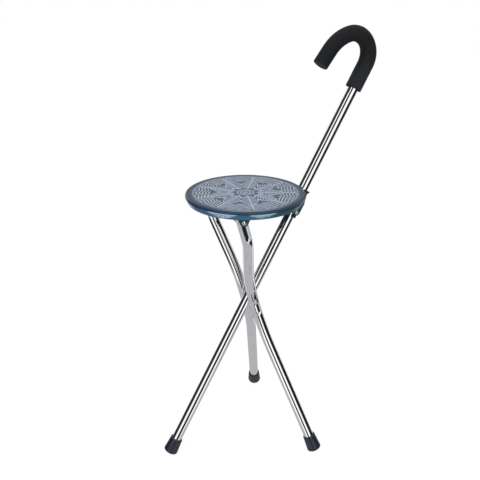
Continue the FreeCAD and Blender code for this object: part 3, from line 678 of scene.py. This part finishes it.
# Radii where the painted shade underneath the seat begins
UNDERSIDE_SHADE_RADII = (SEAT_R - 8 * MM, SEAT_R - 6 * MM)


def seat_radius(tree, parts):
    """Distance from the seat's middle line, in metres."""
    x = math_node(tree, "SUBTRACT", parts["X"], SEAT_MIDDLE.x)
    squares = [math_node(tree, "MULTIPLY", part, part) for part in (x, parts["Y"])]
    return math_node(tree, "SQRT", math_node(tree, "ADD", *squares))


def facing(tree, parts, degrees, low, high):
    """0 to 1 as a place on the seat turns towards a direction; low and high are shares of the radius."""
    x = math_node(tree, "SUBTRACT", parts["X"], SEAT_MIDDLE.x)
    along = math_node(tree, "MULTIPLY", x, math.cos(math.radians(degrees)))
    aside = math_node(tree, "MULTIPLY", parts["Y"], math.sin(math.radians(degrees)))
    return spread(tree, math_node(tree, "ADD", along, aside), low * SEAT_R, high * SEAT_R)


def side_colour(tree, parts, depth, fleck):
    """The clear side of the seat: dark at the rounded edge, blue to teal below, with painted shade and painted
    light in places, and painted glows with painted highlight lines.
    """
    righter = facing(tree, parts, RIGHT_AT, 0.0, 0.9)
    shoulder = mix_colour(tree, righter, (0.014, 0.036, 0.068), (0.016, 0.042, 0.062))
    lower = mix_colour(tree, righter, (0.034, 0.092, 0.180), (0.036, 0.125, 0.200))
    # Painted shade and painted light at places round the side.
    for degrees, low, high, colour in SIDE_PAINTED_LIGHT_AND_SHADE:
        lower = mix_colour(tree, facing(tree, parts, degrees, low, high), lower, colour)
    painted_glow = 0.0
    # Painted light: glows where the clear side is painted full of light.
    for degrees, half in PAINTED_GLOWS:
        low, high = (math.cos(math.radians(half * share)) for share in GLOW_SHARES)
        painted_glow = math_node(tree, "ADD", facing(tree, parts, degrees, low, high), painted_glow)
    # The painted glows' colour, with painted highlight lines along the top and the lower part of the side.
    pale = mix_colour(tree, spread(tree, fleck, 0.44, 0.56), (0.14, 0.20, 0.28), (0.36, 0.43, 0.53))
    upper_highlight = spread(tree, depth, *UPPER_HIGHLIGHT_DEPTHS, 1.0, 0.0)
    hem_highlight = math_node(tree, "MULTIPLY", spread(tree, depth, *HEM_HIGHLIGHT_DEPTHS), 0.85)
    bright = mix_colour(tree, hem_highlight, (0.36, 0.48, 0.61), (0.42, 0.48, 0.56))
    pale = mix_colour(tree, math_node(tree, "MAXIMUM", upper_highlight, hem_highlight), pale, bright)
    lower = mix_colour(tree, painted_glow, lower, pale)
    return mix_colour(tree, spread(tree, depth, *SHOULDER_DEPTHS), shoulder, lower)


def attribute(tree, name):
    """A share kept on the points of a mesh."""
    node = tree.nodes.new("ShaderNodeAttribute")
    node.attribute_name = name
    return node.outputs["Fac"]


def make_seat_top_plastic():
    """Glossy plastic: grey-green with lavender petals and pale ridges, deeper blue round the rim, with a painted
    reflection paling the rim on one side.
    """
    material, tree, shader, place = new_material("seat_top_plastic", Specular_IOR_Level=0.24)
    parts = axes(tree, place)
    radius = seat_radius(tree, parts)
    depth = math_node(tree, "SUBTRACT", SEAT_TOP, parts["Z"])
    cloud = noise(tree, place, 26, 4)
    fleck = noise(tree, place, 420, 3)
    clouded = spread(tree, cloud, 0.36, 0.64)
    field = mix_colour(tree, clouded, (0.125, 0.170, 0.178), (0.150, 0.19, 0.25))
    field = mix_colour(tree, spread(tree, fleck, 0.42, 0.60), (0.050, 0.075, 0.092), field)
    petals = mix_colour(tree, clouded, (0.165, 0.200, 0.300), (0.125, 0.155, 0.225))
    petals = mix_colour(tree, spread(tree, fleck, 0.38, 0.58), (0.080, 0.104, 0.158), petals)
    panel = mix_colour(tree, attribute(tree, "petal"), field, petals)
    edging = mix_colour(tree, spread(tree, fleck, 0.40, 0.60), (0.190, 0.235, 0.30), (0.28, 0.33, 0.41))
    panel = mix_colour(tree, spread(tree, radius, *BORDER_RADII), panel, edging)
    panel = mix_colour(tree, attribute(tree, "ridge"), panel, (0.60, 0.65, 0.76))
    crown = mix_colour(tree, spread(tree, cloud, 0.4, 0.6), (0.070, 0.095, 0.130), (0.085, 0.110, 0.155))
    # Painted reflection: the rim's crown turns pale towards one side.
    crown = mix_colour(tree, facing(tree, parts, PAINTED_REFLECTION_AT, 0.70, 0.95), crown, (0.165, 0.21, 0.29))
    tint = mix_colour(tree, spread(tree, radius, *RIM_RADII), panel, crown)
    outside = spread(tree, radius, *OUTSIDE_RADII)
    tint = mix_colour(tree, outside, tint, side_colour(tree, parts, depth, fleck))
    rough = spread(tree, cloud, 0.3, 0.7, 0.16, 0.24)
    finish(tree, shader, tint, rough, bump(tree, noise(tree, place, 90, 3), 0.2 * MM, 0.3))
    return material


def make_seat_base_plastic():
    """The clear blue of the base, with painted shade making it dark underneath, and dark on its lugs and ears."""
    material, tree, shader, place = new_material("seat_base_plastic", Specular_IOR_Level=0.22)
    parts = axes(tree, place)
    depth = math_node(tree, "SUBTRACT", SEAT_TOP, parts["Z"])
    tint = side_colour(tree, parts, depth, noise(tree, place, 330, 4))
    # Painted shade: dark inside the skirt, underneath the seat.
    inner = spread(tree, seat_radius(tree, parts), *UNDERSIDE_SHADE_RADII, 1.0, 0.0)
    tint = mix_colour(tree, inner, tint, (0.016, 0.022, 0.027))
    tint = mix_colour(tree, spread(tree, depth, *LUG_DEPTHS), tint, (0.016, 0.062, 0.078))
    rough = spread(tree, noise(tree, place, 24, 3), 0.3, 0.7, 0.10, 0.20)
    ripple = noise(tree, place, 300, 3)
    normal = bump(tree, ripple, 0.3 * MM, 0.5, rounded_edges(tree, 0.6 * MM))
    finish(tree, shader, tint, rough, normal)
    return material


SLOT_MATERIALS = {
    "chrome_tube": make_chrome(),
    "bright_hardware": make_bright_hardware(),
    "zinc_steel": make_zinc(),
    "foam_grip": make_foam(),
    "rubber_foot": make_rubber(),
    "black_plastic": make_black_plastic(),
    "natural_nylon": make_nylon(),
    "seat_top_plastic": make_seat_top_plastic(),
    "seat_base_plastic": make_seat_base_plastic(),
}


def dress_node(node, slot):
    """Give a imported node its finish."""
    mesh = frame["nodes"][node].data
    mesh.materials.clear()
    mesh.materials.append(SLOT_MATERIALS[slot])


def place_piece(piece, body, slot, *nodes):
    """Give a new piece its finish and its body, and let it stand for the nodes it is made from."""
    piece.data.materials.append(SLOT_MATERIALS[slot])
    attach(piece, body)
    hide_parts(*nodes)


for subpart in frame["record"]["subparts"]:
    dress_node(subpart["node"], subpart["material_slot"])

place_piece(make_cane_tube(), "cane", "chrome_tube", "cane_tube")
grip = make_grip()
place_piece(grip, "cane", "foam_grip", "handle_grip")
for name, side in SIDES.items():
    place_piece(make_leg_tube(name, side), "leg_%s" % name, "chrome_tube", "leg_%s_tube" % name)
place_piece(make_seat_top(), "seat", "seat_top_plastic", "seat_cover")


# Studio

FLOOR_HALF = 400.0                 # middle to each side, far enough to reach the horizon
FLOOR_GREY = (0.86, 0.86, 0.86)
FLOOR_WHITE = 1.05                 # makes up for the lit part, so that the bare floor comes out white
FLOOR_WHITE_SHARE = 0.86           # the rest is lit, and takes the shadow

# Dark screens in a white studio, as polished metal sees them: degrees right of the camera's view to
# the middle of the screen, half its width, its brightness, and its slant in degrees per degree of rise
STUDIO_SCREENS = {
    "behind the stool": (11, 26, 0.24, 0.0),
    "beside the camera": (-175, 15.5, 0.0, -0.31),
    "left": (-84, 41, 0.03, -0.10),
    "right": (96, 38, 0.014, -0.02),
}
SCREEN_EDGE = math.radians(9)      # how softly a screen ends
STUDIO_WHITE = (1.11, 1.11, 1.11)
STUDIO_FLOOR = (0.48, 0.48, 0.4896)
FLOOR_FROM, FLOOR_TO = -40, -34    # degrees above level, where the floor's far edge is seen
CEILING_FROM, CEILING_TO = 50, 62  # and where the screens end at a white ceiling
SOFT_LIGHT = (0.80, 0.81, 0.83)    # the world as surfaces that aren't polished see it

# Lamps: degrees right of the camera's view, degrees up, distance from the aim, width, watts
LAMP_AIM = Vector((0, 0, 0.4))
LAMPS = {
    "key": (-150, 48, 2.2, 1.2, 18),
    "fill": (120, 35, 2.4, 1.4, 9),
}


def make_floor():
    """A pale floor: nearly white to the camera, with a faint shadow."""
    corners = [(x * FLOOR_HALF, y * FLOOR_HALF, 0) for x, y in ((-1, -1), (1, -1), (1, 1), (-1, 1))]
    floor = new_piece("floor", corners, [(0, 1, 2, 3)])
    material = bpy.data.materials.new("floor")
    material.use_nodes = True
    tree = material.node_tree
    tree.nodes.clear()
    output = tree.nodes.new("ShaderNodeOutputMaterial")
    lit = tree.nodes.new("ShaderNodeBsdfDiffuse")
    feed(tree, FLOOR_GREY, lit.inputs["Color"])
    white = tree.nodes.new("ShaderNodeEmission")
    white.inputs["Strength"].default_value = FLOOR_WHITE
    path = tree.nodes.new("ShaderNodeLightPath")
    share = math_node(tree, "MULTIPLY", path.outputs["Is Camera Ray"], FLOOR_WHITE_SHARE)
    mixed = tree.nodes.new("ShaderNodeMixShader")
    tree.links.new(share, mixed.inputs[0])
    tree.links.new(lit.outputs[0], mixed.inputs[1])
    tree.links.new(white.outputs[0], mixed.inputs[2])
    tree.links.new(mixed.outputs[0], output.inputs["Surface"])
    floor.data.materials.append(material)
    floor.visible_glossy = False


def height(degrees):
    """The Z of a direction that many degrees above level."""
    return math.sin(math.radians(degrees))


def screen_share(tree, angle, rise, middle, half, slant):
    """1 where a direction meets a screen, 0 beside it."""
    leaning = math_node(tree, "ADD", angle, math_node(tree, "MULTIPLY", rise, slant))
    aside = math_node(tree, "SUBTRACT", leaning, math.radians(middle))
    aside = math_node(tree, "ABSOLUTE", math_node(tree, "WRAP", aside, math.pi, -math.pi))
    edge = math.radians(half)
    return spread(tree, aside, edge - SCREEN_EDGE / 2, edge + SCREEN_EDGE / 2, 1.0, 0.0)


def make_world():
    """White to the camera, even for soft light, and a white studio with dark screens for polished metal."""
    world = bpy.data.worlds.new("studio")
    bpy.context.scene.world = world
    world.use_nodes = True
    tree = world.node_tree
    tree.nodes.clear()
    output = tree.nodes.new("ShaderNodeOutputWorld")
    toward = tree.nodes.new("ShaderNodeTexCoord").outputs["Generated"]
    turned = tree.nodes.new("ShaderNodeVectorRotate")
    turned.rotation_type = "Z_AXIS"
    turned.inputs["Angle"].default_value = CAMERA_TURN
    tree.links.new(toward, turned.inputs["Vector"])
    parts = axes(tree, turned.outputs[0])
    angle = math_node(tree, "ARCTAN2", parts["X"], parts["Y"])
    rise = math_node(tree, "ARCSINE", parts["Z"])
    seen = STUDIO_WHITE
    for middle, half, bright, slant in STUDIO_SCREENS.values():
        share = screen_share(tree, angle, rise, middle, half, slant)
        seen = mix_colour(tree, share, seen, (bright,) * 3)
    floor_share = spread(tree, parts["Z"], height(FLOOR_FROM), height(FLOOR_TO), 1.0, 0.0)
    seen = mix_colour(tree, floor_share, seen, STUDIO_FLOOR)
    roof_share = spread(tree, parts["Z"], height(CEILING_FROM), height(CEILING_TO))
    seen = mix_colour(tree, roof_share, seen, STUDIO_WHITE)
    path = tree.nodes.new("ShaderNodeLightPath")
    tint = mix_colour(tree, path.outputs["Is Glossy Ray"], SOFT_LIGHT, seen)
    tint = mix_colour(tree, path.outputs["Is Camera Ray"], tint, (1.0, 1.0, 1.0))
    background = tree.nodes.new("ShaderNodeBackground")
    tree.links.new(tint, background.inputs["Color"])
    tree.links.new(background.outputs[0], output.inputs["Surface"])


def view_direction(right, up):
    """A direction given by degrees right of the camera's view and degrees above level."""
    turn = CAMERA_TURN + math.radians(right)
    level = math.cos(math.radians(up))
    return Vector((math.sin(turn) * level, math.cos(turn) * level, height(up)))


def add_lamp(name, right, up, away, width, watts):
    """A square lamp aimed at the stool, which polished surfaces don't show."""
    lamp = bpy.data.lights.new(name, "AREA")
    lamp.shape = "RECTANGLE"
    lamp.size = lamp.size_y = width
    lamp.energy = watts
    light = bpy.data.objects.new(name, lamp)
    light.location = LAMP_AIM + view_direction(right, up) * away
    light.rotation_euler = (LAMP_AIM - light.location).to_track_quat("-Z", "Y").to_euler()
    light.visible_glossy = False
    bpy.context.scene.collection.objects.link(light)


def make_camera():
    """The camera at the photograph's viewing angle."""
    lens = bpy.data.cameras.new("camera")
    lens.lens = CAMERA_LENS
    lens.sensor_width = CAMERA_SENSOR
    camera = bpy.data.objects.new("camera", lens)
    camera.location = hub + CAMERA_FROM_HUB
    camera.rotation_euler = (math.pi / 2 - CAMERA_DROP, 0, -CAMERA_TURN)
    bpy.context.scene.collection.objects.link(camera)
    bpy.context.scene.camera = camera


make_floor()
make_world()
for name, values in LAMPS.items():
    add_lamp(name, *values)
make_camera()
bpy.context.scene.view_settings.view_transform = "Standard"
